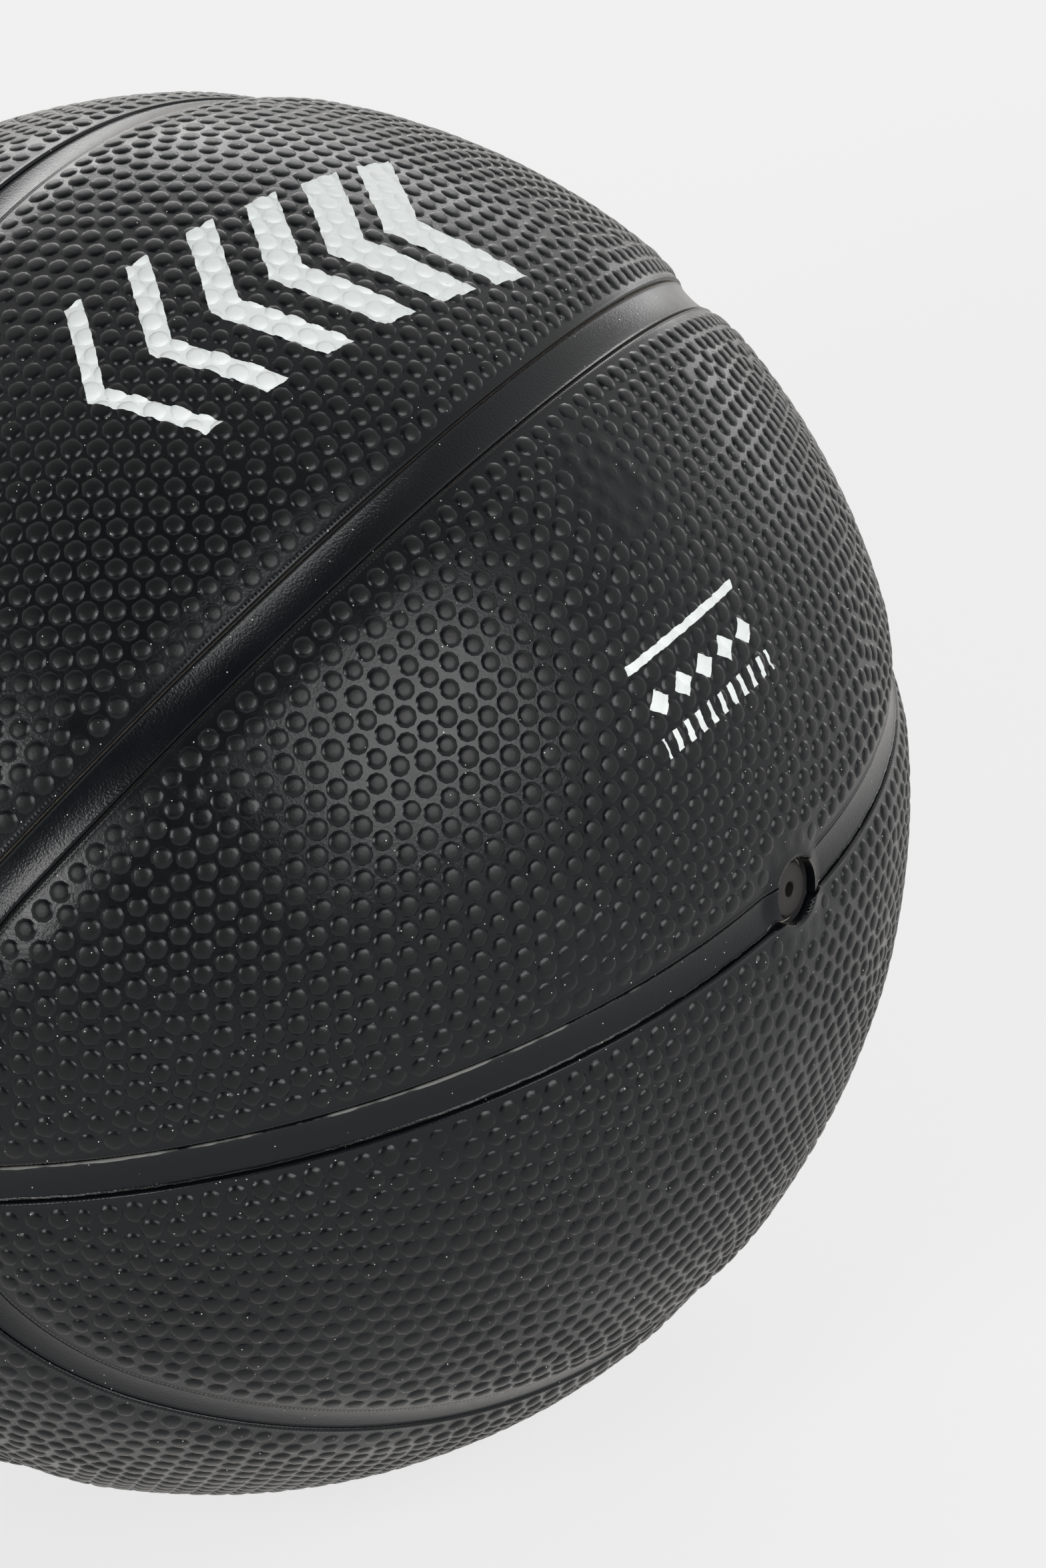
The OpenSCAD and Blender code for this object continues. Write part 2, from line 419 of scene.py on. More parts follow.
def makePanel(name, top, valve, signs, seed):
    shape = panelShape
    rng = np.random.default_rng(seed)
    middle = math.radians(shape["topMiddle"] if top else shape["upperMiddle"])
    centres, size = layPebbles(top, valve, middle, rng)
    height = pebbleHeights(centres, size, valve, signs, rng)
    stays = height > shape["faintest"]
    bare = centres[~stays]
    centres, size, height = centres[stays], size[stays], height[stays]
    least, gain = shape["shallowSize"]
    size = size * np.clip(least + gain * height, 0, 1)
    outline = panelOutline(top, valve, edgeHalf, shape["outlineStep"])
    rowPoints = np.concatenate([
        panelOutline(top, valve, edgeHalf + d, shape["outlineStep"]) for d in shoulderRows])
    far = distances(rowPoints, centres) * valleyRadius
    rowPoints = rowPoints[(far > size + shape["toeRoom"]).all(1)]
    points = [outline, rowPoints, bare, centres]
    flat = len(outline) + len(rowPoints) + len(bare)
    lift = [np.zeros(flat), height]
    rub = np.clip(height / shape["rubFrom"], 0, 1)    # shallow pebbles are rubbed less
    topness = [np.zeros(flat), rub]
    first = unit(np.cross(centres, offAxis))
    second = np.cross(centres, first)
    phase = rng.uniform(0, 2 * math.pi, len(centres))
    for share, rise, sides in pebbleRings:
        spread = (share * size / valleyRadius)[:, None]
        for k in range(sides):
            angle = (phase + 2 * math.pi * k / sides)[:, None]
            points.append(unit(centres + spread * (np.cos(angle) * first + np.sin(angle) * second)))
            lift.append(rise * height)
            topness.append(rise * rub)
    points = np.concatenate(points)
    lift = np.concatenate(lift)
    radius = valleyRadius - surfaceDrop(top, valve, points) + lift * shape["grain"]
    radius[:len(outline)] = stripRadius - shape["lip"]
    toeSides = pebbleRings[-1][2]    # the last points are the toes, one row for each side
    toes = len(points) + np.arange(-toeSides * len(centres), 0).reshape(toeSides, -1)
    toeLines = np.stack([toes, np.roll(toes, -1, axis=0)], 2).reshape(-1, 2)
    skin = triangulate(points, len(outline), middle, toeLines.tolist())

    # Inner face on the bed, and the wall between the two outlines
    step = shape["bedStep"] / ballRadius
    a, b = np.meshgrid(*(np.arange(-reach, reach + 0.01, step) for reach in shape["bedReach"]))
    a = a.ravel()[:, None]
    b = b.ravel()[:, None]
    centre, side = panelAxes(middle)
    bed = np.cos(b) * (np.cos(a) * centre + np.sin(a) * yAxis) + np.sin(b) * side
    bed = bed[edgeDistance(top, valve, bed) > shape["bedInset"]]
    bed = np.concatenate([outline, bed])
    under = triangulate(bed, len(outline), middle)
    base = len(points)
    count = len(outline)
    faces = [tuple(f) for f in skin]
    faces += [tuple(base + i for i in reversed(f)) for f in under]
    run = flatten(outline, middle)
    turned = np.roll(run, -1, axis=0)
    ccw = (run[:, 0] * turned[:, 1] - run[:, 1] * turned[:, 0]).sum() > 0
    for i in range(count):
        j = (i + 1) % count
        wall = (i, base + i, base + j, j)
        faces.append(wall if ccw else wall[::-1])
    verts = np.concatenate([points * radius[:, None], bed * bedRadius]) * np.array(signs) * mm
    if signs[0] * signs[2] < 0:
        faces = [f[::-1] for f in faces]
    mesh = bpy.data.meshes.new(name)
    mesh.from_pydata(verts.tolist(), [], faces)
    topness.append(np.zeros(len(bed)))
    mark = mesh.attributes.new("pebbleTop", "FLOAT", "POINT")
    mark.data.foreach_set("value", np.concatenate(topness).astype(np.float32))
    panel = bpy.data.objects.new(name, mesh)
    bpy.context.scene.collection.objects.link(panel)
    smoothByAngle(panel, shape["smoothAngle"])
    owner = np.full(len(verts), -1)    # which pebble each toe point belongs to
    owner[toes] = np.arange(len(centres))
    markToes(mesh, owner, np.append(height > shape["crispFrom"], False))
    return panel


def markToes(mesh, owner, crisp):    # sharp edges where a tall pebble's side meets the valley
    ends = np.empty(2 * len(mesh.edges), dtype=np.int32)
    mesh.edges.foreach_get("vertices", ends)
    one, other = owner[ends.reshape(-1, 2)].T
    sharp = np.empty(len(mesh.edges), dtype=bool)
    mesh.edges.foreach_get("use_edge_sharp", sharp)
    sharp |= (one == other) & crisp[one]
    mesh.edges.foreach_set("use_edge_sharp", sharp)


def smoothByAngle(piece, angle):
    bpy.ops.object.select_all(action="DESELECT")
    piece.select_set(True)
    bpy.context.view_layer.objects.active = piece
    bpy.ops.object.shade_smooth_by_angle(angle=math.radians(angle))


def seat(piece, body, slot, *nodes):
    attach(piece, body)
    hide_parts(*nodes)


ballSides = (("valve_side", 1), ("far_side", -1))
panels = {}
for side, signX in ballSides:
    for level, top, signZ in (("top", 1, 1), ("upper", 0, 1), ("lower", 0, -1), ("bottom", 1, -1)):
        node = "%s_%s_panel" % (side, level)
        valve = signX > 0 and not top
        seed = panelShape["seed"] + len(panels)
        panel = makePanel(node + "_skin", top, valve, (signX, 1, signZ), seed)
        seat(panel, "ball", "cover_rubber", node)
        panels[node] = panel
        print("panel", node, len(panel.data.polygons), "faces")


# Seam strips: a flat grid drawn out to its thickness, dished across and laid along its seam.
# Places and widths across a strip are shares of its half width.
stripShape = {
    "step": 0.5,             # length of a grid square along the strip
    "columns": 24,
    "crowding": 1.7,         # how much closer the columns stand at the edges
    "lift": 0.1,             # how far its edges swell over the bonded strip
    "dish": 0.26,            # how much lower the middle is than the edges
    "ridge": 0.1,            # fine moulding line along each edge
    "ridgeAt": 0.905,
    "ridgeWidth": 0.035,
    "round": 0.24,           # drop of the very edge
    "roundFrom": 0.935,
    "roundWidth": 0.065,
    "flash": 0.3,            # torn line of rubber along the equator's upper edge
    "flashAt": 0.925,
    "flashWidth": 0.06,
    "flashLevel": 0.75,      # its mean height, before the waves, and its greatest
    "flashMost": 1.3,
    "flashFrom": 12.0,       # where it starts, from the valve
    "wander": 0.066,         # how far the edge under it strays
    "wanderFrom": 0.85,
    "ragged": 0.18,          # how far the equator's lower edge is torn back
    "raggedLevel": 0.45,
    "raggedFrom": 0.8,
    "raggedWidth": 0.2,
    "valveRamp": 2.4,        # length of the rise to the ring round the valve
    "valveStep": 0.3,        # how far it stays below that ring
    "notch": 0.9,            # torn corner beside the valve
    "notchAt": 1.1,
    "notchLength": 0.8,
    "notchFrom": 0.5,
    "tangentStep": 0.4,
    "smoothAngle": 50,
}
stripThick = stripRadius - bedRadius
# Rate and share of each wave in a torn edge, and how far on each strip and each wave starts
longWaves = ((3.1, 0.4), (9.7, 0.3), (23.0, 0.2), (61.0, 0.1))
shortWaves = ((11.0, 0.35), (29.0, 0.35), (67.0, 0.3))
waveRate = 0.05
stripShift = 1.7
waveShift = 2.3


def waviness(along, seed, waves):    # about -1 to 1, along in mm
    total = np.zeros_like(along)
    for k, (rate, share) in enumerate(waves):
        total += share * np.sin(along * rate * waveRate + seed * stripShift + k * waveShift)
    return total


def faceOutward():    # the active piece's faces
    bpy.ops.object.mode_set(mode="EDIT")
    bpy.ops.mesh.select_all(action="SELECT")
    bpy.ops.mesh.normals_make_consistent(inside=False)
    bpy.ops.object.mode_set(mode="OBJECT")


def makeStrip(name, place, length, flash, seed):
    shape = stripShape
    bpy.ops.mesh.primitive_grid_add(
        x_subdivisions=int(length / shape["step"]), y_subdivisions=shape["columns"], size=2)
    strip = bpy.context.object
    strip.name = name
    bpy.ops.object.mode_set(mode="EDIT")
    bpy.ops.mesh.select_all(action="SELECT")
    bpy.ops.mesh.extrude_region_move(TRANSFORM_OT_translate={"value": (0, 0, -1)})
    faceOutward()
    grid = np.array([v.co for v in strip.data.vertices])
    along = (grid[:, 0] + 1) / 2
    q = np.sign(grid[:, 1]) * (1 - (1 - np.abs(grid[:, 1])) ** shape["crowding"])
    t = q * stripHalf
    upper = grid[:, 2] > -0.5
    s = along * length
    ramp = 1 - smoothStep(s / shape["valveRamp"]) if flash else 0 * s
    height = stripThick + shape["lift"] - shape["dish"] * (1 - q ** 2) * (1 - ramp)
    height += ramp * (valleyRadius - stripRadius - shape["valveStep"])
    edge = np.abs(q)
    height += shape["ridge"] * np.exp(-((edge - shape["ridgeAt"]) / shape["ridgeWidth"]) ** 2)
    height -= shape["round"] * np.clip((edge - shape["roundFrom"]) / shape["roundWidth"], 0, 1) ** 2
    torn = np.exp(-((q - shape["flashAt"]) / shape["flashWidth"]) ** 2)
    torn *= np.clip(shape["flashLevel"] + waviness(s, seed, longWaves), 0, shape["flashMost"])
    torn *= flash * smoothStep((s - shape["flashFrom"]) / (2 * shape["flashFrom"]))
    height += shape["flash"] * torn
    t = t + shape["wander"] * flash * waviness(s, seed + 9, longWaves) * (q > shape["wanderFrom"])
    if flash:
        jags = np.clip(shape["raggedLevel"] + waviness(s, seed + 5, shortWaves), 0, 1)
        t = t + shape["ragged"] * jags * np.clip((-q - shape["raggedFrom"]) / shape["raggedWidth"], 0, 1)
        corner = np.exp(-((s - shape["notchAt"]) / shape["notchLength"]) ** 2)
        corner *= np.clip((-q - shape["notchFrom"]) / (1 - shape["notchFrom"]), 0, 1)
        t = t + shape["notch"] * flash * corner
    rise = np.where(upper, height, 0)
    heading, across = place(along, t)
    turn = (t / stripRadius)[:, None]
    points = (heading * np.cos(turn) + across * np.sin(turn)) * (bedRadius + rise)[:, None]
    strip.data.vertices.foreach_set("co", (points * mm).astype(np.float32).ravel())
    mark = strip.data.attributes.new("flash", "FLOAT", "POINT")
    mark.data.foreach_set("value", np.where(upper, np.clip(torn, 0, 1), 0).astype(np.float32))
    strip.data.update()
    faceOutward()
    smoothByAngle(strip, shape["smoothAngle"])
    return strip


def equatorPlace(sign):
    def place(along, t):
        start = np.arcsin(np.sqrt(seams["valveHole"] ** 2 - t ** 2) / stripRadius)
        end = math.pi - math.asin(seams["endGap"] / stripRadius)
        turn = start + along * (end - start)
        heading = np.stack([np.cos(turn), sign * np.sin(turn), np.zeros_like(turn)], 1)
        return heading, np.array([0.0, 0.0, 1.0])
    return place


def meridianPlace(signZ):
    def place(along, t):
        start = math.asin(edgeHalf / stripRadius)
        turn = start + along * (math.pi - 2 * start)
        heading = np.stack([np.zeros_like(turn), -np.cos(turn), signZ * np.sin(turn)], 1)
        return heading, np.array([1.0, 0.0, 0.0])
    return place


def loopLine():    # the loop seam's middle line from its front end over the rim to its back end
    front = loopPoints(stripRadius, 0.0, edgeHalf)
    path = np.concatenate([front[:-1], front[::-1] * [1, -1, 1]])
    run = runAlong(path)
    return path, run


def loopPlace(signX, signZ):
    path, run = loopLine()
    signs = np.array([signX, 1, signZ])

    def place(along, t):
        def beside(d):
            at = along * run[-1] + d
            return np.stack([np.interp(at, run, path[:, k]) for k in range(3)], 1)

        heading = unit(beside(0))
        step = stripShape["tangentStep"]
        across = unit(np.cross(heading, beside(step) - beside(-step)))
        return heading * signs, across * signs
    return place


halfTurn = math.pi * stripRadius
loopLength = loopLine()[1][-1]
# Node, where it is laid, its length and its share of the torn flash
stripPlans = [
    ("equator_strip_left", equatorPlace(-1), halfTurn, 1.0),
    ("equator_strip_right", equatorPlace(1), halfTurn, 0.35),
    ("meridian_strip_upper", meridianPlace(1), halfTurn, 0.0),
    ("meridian_strip_lower", meridianPlace(-1), halfTurn, 0.0),
]
for side, signX in ballSides:
    for level, signZ in (("upper", 1), ("lower", -1)):
        stripPlans.append(("%s_loop_%s" % (side, level), loopPlace(signX, signZ), loopLength, 0.0))
strips = {}
for number, (node, place, length, flash) in enumerate(stripPlans):
    strip = makeStrip(node + "_band", place, length, flash, number)
    seat(strip, "ball", "strip_rubber", node)
    strips[node] = strip
print("strips", len(strips))


# Valve: each part is turned up from a circle by extruding and resizing rings along the valve's axis
turning = {"bootSides": 64, "plugSides": 48, "point": 0.008, "merge": 0.02, "smoothAngle": 40}


def turnUp(name, rings, sides):
    lastRadius, lastAt = rings[0]
    bpy.ops.mesh.primitive_circle_add(
        vertices=sides, radius=lastRadius * mm, location=(0, 0, lastAt * mm))
    piece = bpy.context.object
    piece.name = name
    bpy.ops.object.transform_apply(location=True, rotation=False, scale=False)
    bpy.ops.object.mode_set(mode="EDIT")
    bpy.ops.mesh.select_all(action="SELECT")
    for radius, at in rings[1:]:
        bpy.ops.mesh.extrude_region_move(TRANSFORM_OT_translate={"value": (0, 0, (at - lastAt) * mm)})
        grow = radius / lastRadius
        bpy.ops.transform.resize(value=(grow, grow, 1), center_override=(0, 0, at * mm))
        lastRadius, lastAt = radius, at
    bpy.ops.mesh.select_all(action="SELECT")
    bpy.ops.mesh.remove_doubles(threshold=turning["merge"] * mm)
    faceOutward()
    return piece


def toValve(piece):    # what was turned up along Z points out through the valve
    piece.data.transform(Matrix.Rotation(math.radians(90), 4, "Y"))
    piece.data.update()
    smoothByAngle(piece, turning["smoothAngle"])


bootLow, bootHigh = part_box("valve_boot")
patchUnder = nodeRadii("valve_patch")[0]
bootShape = {
    "flangeRadius": bootHigh.y / mm,
    "flangeTop": patchUnder - 0.15,
    "flangeThick": 1.0,
    "stemRadius": 4.8,
    "collarRadius": 3.85,
    "seatRadius": headRadius + 0.05,
    "seatDepth": 0.9,
    "boreRadius": 2.5,
    "floorAt": 75.9,
    "airRadius": 0.6,
    "edge": 0.25,            # rounding of its edges
    "foot": ((2, 0), (1, 0.3), (0, 2)),    # rings of the stem's foot, in and up by so many edges
    "root": ((0, 2), (1, 0.4)),            # and where it meets the flange, out and down
    "flangeUnder": (0.55, 0.75, 0.97),     # rings of the flange, as shares of its radius
    "flangeOver": (0.97, 0.75, 0.5),
    "flangeEdge": 0.4,
    "rimSunk": 0.55,         # how far the trimmed rim lies below the plug
    "rimOuter": (0.1, 0.06),                     # its rounding, in and down
    "rimInner": ((0.08, 0.05), (0.0, 0.15)),     # and out and down
    "ragged": 0.14,          # unevenness of that rim
    "trimmed": 0.25,         # how far down it goes
    "seed": 5,
}


def makeBoot(shape):
    low = bootLow.x / mm
    top = bootHigh.x / mm
    edge = shape["edge"]
    outer = shape["flangeTop"]
    inner = outer - shape["flangeThick"]
    reach = shape["flangeRadius"]
    stem = shape["stemRadius"]
    stemTop = math.sqrt(inner ** 2 - stem ** 2)
    rings = [(shape["airRadius"], low)]
    rings += [(stem - back * edge, low + up * edge) for back, up in shape["foot"]]
    rings += [(stem + out * edge, stemTop - down * edge) for out, down in shape["root"]]
    for share in shape["flangeUnder"]:
        rings.append((reach * share, math.sqrt(inner ** 2 - (reach * share) ** 2)))
    rings.append((reach, math.sqrt((inner + shape["flangeEdge"]) ** 2 - reach ** 2)))
    for share in shape["flangeOver"]:
        rings.append((reach * share, math.sqrt(outer ** 2 - (reach * share) ** 2)))
    collar = shape["collarRadius"]
    seatRadius = shape["seatRadius"]
    seatFloor = top - shape["seatDepth"]
    rim = top - shape["rimSunk"]
    back, down = shape["rimOuter"]
    rings += [(collar, math.sqrt(outer ** 2 - collar ** 2)), (collar, rim - edge)]
    rings += [(collar - back, rim - down), ((collar + seatRadius) / 2, rim)]
    rings += [(seatRadius + out, rim - down) for out, down in shape["rimInner"]]
    rings += [(seatRadius, seatFloor), (shape["boreRadius"], seatFloor)]
    rings += [(shape["boreRadius"], shape["floorAt"]), (shape["airRadius"], shape["floorAt"])]
    rings.append((shape["airRadius"], low))
    boot = turnUp("valve_boot_rubber", rings, turning["bootSides"])
    rng = np.random.default_rng(shape["seed"])
    for v in boot.data.vertices:
        if v.co.z > (rim - shape["trimmed"]) * mm:    # the rim was trimmed by hand
            v.co.z -= shape["ragged"] * mm * rng.random()
    toValve(boot)
    return boot


plugShape = {
    "needleRadius": 0.9,
    "needleDepth": 8.0,
    "mouth": ((0.0, 0.7), (0.03, 0.175), (0.14, 0.06), (0.4, 0.0)),    # of the needle hole, out and down
    "crown": ((0.6, 0.02), (0.85, 0.07)),        # rings of the head, share of its radius and drop
    "headEdge": ((0.12, 0.1), (0.03, 0.18), (0.0, 0.3)),               # its rounding, in and down
    "headThick": 0.9,
    "neck": 0.3,             # rounding under the head
    "barrelRadius": 2.45,
    "tipRadius": 1.8,
    "tipLength": 1.2,
}


def makePlug(shape):
    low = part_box("valve_plug")[0].x / mm
    top = rimAt
    bottom = top - shape["needleDepth"]
    under = top - shape["headThick"]
    needle = shape["needleRadius"]
    barrel = shape["barrelRadius"]
    rings = [(turning["point"], bottom), (needle, bottom)]
    rings += [(needle + out, top - down) for out, down in shape["mouth"]]
    rings += [(headRadius * share, top - down) for share, down in shape["crown"]]
    rings += [(headRadius - back, top - down) for back, down in shape["headEdge"]]
    rings += [(headRadius, under), (barrel + shape["neck"], under), (barrel, under - shape["neck"])]
    rings += [(barrel, low + shape["tipLength"]), (shape["tipRadius"], low), (turning["point"], low)]
    plug = turnUp("valve_plug_rubber", rings, turning["plugSides"])
    toValve(plug)
    return plug


boot = makeBoot(bootShape)
seat(boot, "ball", "boot_rubber", "valve_boot")
plug = makePlug(plugShape)
seat(plug, "plug", "plug_rubber", "valve_plug")
print("valve boot and plug")


# Materials: one function turns a hex colour to linear, one adds a node with its settings
def linearColour(code):
    parts = [int(code[k:k + 2], 16) / 255 for k in (1, 3, 5)]
    return [p / 12.92 if p <= 0.04045 else ((p + 0.055) / 1.055) ** 2.4 for p in parts] + [1.0]


def addNode(tree, kind, settings=None):    # a setting that is another node's socket is linked
    node = tree.nodes.new(kind)
    for name, value in (settings or {}).items():
        if isinstance(value, bpy.types.NodeSocket):
            tree.links.new(value, node.inputs[name])
        elif isinstance(name, int) or name in node.inputs:
            node.inputs[name].default_value = value
        else:
            setattr(node, name, value)
    return node


# Short ways to add common nodes. Their terms are numbers, hex colours or sockets.
def calc(tree, operation, *terms, clamp=False):
    settings = {"operation": operation, "use_clamp": clamp, **dict(enumerate(terms))}
    return addNode(tree, "ShaderNodeMath", settings).outputs[0]


def vectorCalc(tree, operation, *terms):
    settings = {"operation": operation, **dict(enumerate(terms))}
    return addNode(tree, "ShaderNodeVectorMath", settings).outputs


def dotProduct(tree, vector, axis):
    return vectorCalc(tree, "DOT_PRODUCT", vector, axis)["Value"]


def remap(tree, value, low, high, start=0.0, end=1.0):
    settings = {"Value": value, "From Min": low, "From Max": high, "To Min": start, "To Max": end}
    return addNode(tree, "ShaderNodeMapRange", settings).outputs[0]


def noise(tree, point, size, detail, roughness=0.5):    # size in mm
    settings = {"Vector": point, "Scale": 1 / (size * mm), "Detail": detail, "Roughness": roughness}
    return addNode(tree, "ShaderNodeTexNoise", settings)


def mixColours(tree, share, under, over):
    under, over = (linearColour(side) if isinstance(side, str) else side for side in (under, over))
    return addNode(tree, "ShaderNodeMix", {"data_type": "RGBA", 0: share, 6: under, 7: over}).outputs[2]


def mixLevels(tree, share, under, over):
    return addNode(tree, "ShaderNodeMix", {"data_type": "FLOAT", 0: share, 2: under, 3: over}).outputs[0]


def emptyTree(owner):
    owner.use_nodes = True
    owner.node_tree.nodes.clear()
    return owner.node_tree


def newMaterial(name):
    material = bpy.data.materials.new(name)
    tree = emptyTree(material)
    return material, tree, addNode(tree, "ShaderNodeTexCoord").outputs["Object"]


def finishSurface(tree, colour, rough, height, depth, gloss):    # depth of the bump in mm
    bump = addNode(tree, "ShaderNodeBump", {"Strength": 1.0, "Distance": depth * mm, "Height": height})
    settings = {"Base Color": colour, "Roughness": rough, "Normal": bump.outputs[0], **gloss}
    shader = addNode(tree, "ShaderNodeBsdfPrincipled", settings)
    addNode(tree, "ShaderNodeOutputMaterial", {"Surface": shader.outputs[0]})


def rubberGloss(look):    # what is the same all over a rubber, with the dust that pales it at its outline
    return {
        "IOR": look["ior"], "Specular IOR Level": look["specular"], "Sheen Weight": look["sheen"],
        "Sheen Roughness": look["sheenRough"], "Sheen Tint": linearColour(look["sheenTint"])}


def giveMaterial(piece, material):
    piece.data.materials.clear()
    piece.data.materials.append(material)


def tangentAxes(centre):    # east and north on the ball's surface
    east = unit(np.cross([0.0, 0.0, 1.0], centre))
    return east, np.cross(centre, east)


# Printed designs: plain bands of white ink, drawn in mm on a plane that touches the ball
chevronPrint = {
    "centre": (-14.0, 64.0),
    "pitch": 9.0, "slope": 0.55, "halfHeight": 12.5, "reach": 27.0,
    "thin": 0.22, "thick": 0.72,
}
labelPrint = {
    "centre": (-1.5, 20.5),
    "reach": 11.0, "barAt": 5.2, "barHalf": 0.55, "lozengePitch": 4.4, "lozengeHalf": 1.7,
    "tickPitch": 2.2, "tickHalf": 0.42, "tickAt": -5.0, "tickHeight": 1.3,
}
inkEdge = {"size": 1.3, "wander": 0.45}


# x and y on the design, with the ragged edge that ink gets on pebbles
def printAxes(tree, point, design):
    wander = noise(tree, point, inkEdge["size"], detail=2).outputs["Color"]
    centred = vectorCalc(tree, "SUBTRACT", wander, (0.5, 0.5, 0.5))[0]
    moved = vectorCalc(tree, "MULTIPLY_ADD", centred, [inkEdge["wander"] * mm] * 3, point)[0]
    axes = tangentAxes(direction(*design["centre"]))
    return [dotProduct(tree, moved, axis / mm) for axis in axes]


def chevronInk(tree, point, design):
    x, y = printAxes(tree, point, design)
    height = calc(tree, "ABSOLUTE", y)
    slant = calc(tree, "MULTIPLY_ADD", height, -design["slope"], x)
    lag = design["slope"] * design["halfHeight"] / 2
    reach = design["reach"]
    phase = calc(tree, "FRACT", calc(tree, "DIVIDE", slant, design["pitch"]))
    share = remap(tree, slant, -lag - reach, reach - lag, design["thin"], design["thick"])
    band = calc(tree, "LESS_THAN", phase, share)
    inRow = calc(tree, "COMPARE", slant, -lag, reach)
    inHeight = calc(tree, "LESS_THAN", height, design["halfHeight"])
    return calc(tree, "MULTIPLY", calc(tree, "MULTIPLY", band, inRow), inHeight)


def labelInk(tree, point, design):
    x, y = printAxes(tree, point, design)
    width = calc(tree, "COMPARE", x, 0.0, design["reach"])
    bar = calc(tree, "COMPARE", y, design["barAt"], design["barHalf"])
    half = design["lozengePitch"] / 2
    sideways = calc(tree, "ABSOLUTE", calc(tree, "WRAP", x, half, -half))
    upward = calc(tree, "ABSOLUTE", y)
    lozenge = calc(tree, "LESS_THAN", calc(tree, "ADD", sideways, upward), design["lozengeHalf"])
    half = design["tickPitch"] / 2
    tick = calc(tree, "COMPARE", calc(tree, "WRAP", x, half, -half), 0.0, design["tickHalf"])
    tickRow = calc(tree, "COMPARE", y, design["tickAt"], design["tickHeight"])
    tick = calc(tree, "MULTIPLY", tick, tickRow)
    mask = calc(tree, "MAXIMUM", calc(tree, "MAXIMUM", bar, lozenge), tick)
    return calc(tree, "MULTIPLY", mask, width)


def addDust(tree, point, look, colour):    # pale specks, one in each cell of a random net
    net = addNode(tree, "ShaderNodeTexVoronoi", {"Vector": point, "Scale": 1 / (look["speckGap"] * mm)})
    speck = calc(tree, "LESS_THAN", net.outputs["Distance"], look["speckRadius"] / look["speckGap"])
    return mixColours(tree, speck, colour, look["speck"])


# Black vulcanised rubber, moulded: satin valleys that catch the light, matte rubbed pebble tops
coverLook = {
    "valley": "#04070a", "top": "#080a0b", "mottle": "#080b0e", "ink": "#e3e8e6", "speck": "#b9b9b2",
    "valleyRough": 0.22, "satinRough": 0.32, "topRough": 0.42, "inkRough": 0.5,
    "ior": 1.5, "specular": 0.29, "sheen": 0.27, "sheenRough": 0.28, "sheenTint": "#eee2d2",
    "topFrom": 0.66, "topTo": 0.88,          # heights on a pebble where its rubbed top starts and is full
    "leastRub": 0.5, "mottleRub": 0.9,       # how far tops are rubbed everywhere, and what the mottle adds
    "satinFrom": 0.3, "satinTo": 0.7,        # levels of the mottle where the satin starts and is full
    "mottleSize": 6.0, "grainSize": 0.4, "grainDepth": 0.028,
    "speckGap": 1.6, "speckRadius": 0.085,
}


def coverRubber(name, inkMask=None, design=None):
    look = coverLook
    material, tree, point = newMaterial(name)
    tops = addNode(tree, "ShaderNodeAttribute", {"attribute_name": "pebbleTop"}).outputs["Fac"]
    tops = remap(tree, tops, look["topFrom"], look["topTo"])
    mottle = noise(tree, point, look["mottleSize"], detail=5, roughness=0.65).outputs["Fac"]
    grain = noise(tree, point, look["grainSize"], detail=3, roughness=0.6).outputs["Fac"]
    rubbed = calc(tree, "MULTIPLY_ADD", mottle, look["mottleRub"], look["leastRub"])
    rubbed = calc(tree, "MULTIPLY", rubbed, tops, clamp=True)
    colour = mixColours(tree, mottle, look["valley"], look["mottle"])
    colour = mixColours(tree, rubbed, colour, look["top"])
    rough = remap(tree, mottle, look["satinFrom"], look["satinTo"], look["valleyRough"], look["satinRough"])
    rough = mixLevels(tree, rubbed, rough, look["topRough"])
    if inkMask:
        mask = inkMask(tree, point, design)
        colour = mixColours(tree, mask, colour, look["ink"])
        rough = mixLevels(tree, mask, rough, look["inkRough"])
    colour = addDust(tree, point, look, colour)
    finishSurface(tree, colour, rough, grain, look["grainDepth"], rubberGloss(look))
    return material


# Smooth moulded rubber of the strips: satin black with a fine grain, paler where the mould's flash tore
stripLook = {
    "rubber": "#04070a", "worn": "#0b0e12", "flash": "#7f7f7c", "speck": "#b4b2aa",
    "rough": 0.17, "wornRough": 0.32, "ior": 1.5, "specular": 0.27,
    "sheen": 0.33, "sheenRough": 0.28, "sheenTint": "#eee2d2",
    "flashFrom": 0.3, "flashTo": 0.8,        # heights of the flash where its paler tone starts and is full
    "mottleSize": 9.0, "grainSize": 0.3, "grainDepth": 0.04,
    "speckGap": 1.6, "speckRadius": 0.08,
}


def stripRubber(name):
    look = stripLook
    material, tree, point = newMaterial(name)
    torn = addNode(tree, "ShaderNodeAttribute", {"attribute_name": "flash"}).outputs["Fac"]
    torn = remap(tree, torn, look["flashFrom"], look["flashTo"])
    mottle = noise(tree, point, look["mottleSize"], detail=5, roughness=0.6).outputs["Fac"]
    grain = noise(tree, point, look["grainSize"], detail=2).outputs["Fac"]
    colour = mixColours(tree, mottle, look["rubber"], look["worn"])
    colour = mixColours(tree, torn, colour, look["flash"])
    colour = addDust(tree, point, look, colour)
    rough = mixLevels(tree, mottle, look["rough"], look["wornRough"])
    finishSurface(tree, colour, rough, grain, look["grainDepth"], rubberGloss(look))
    return material


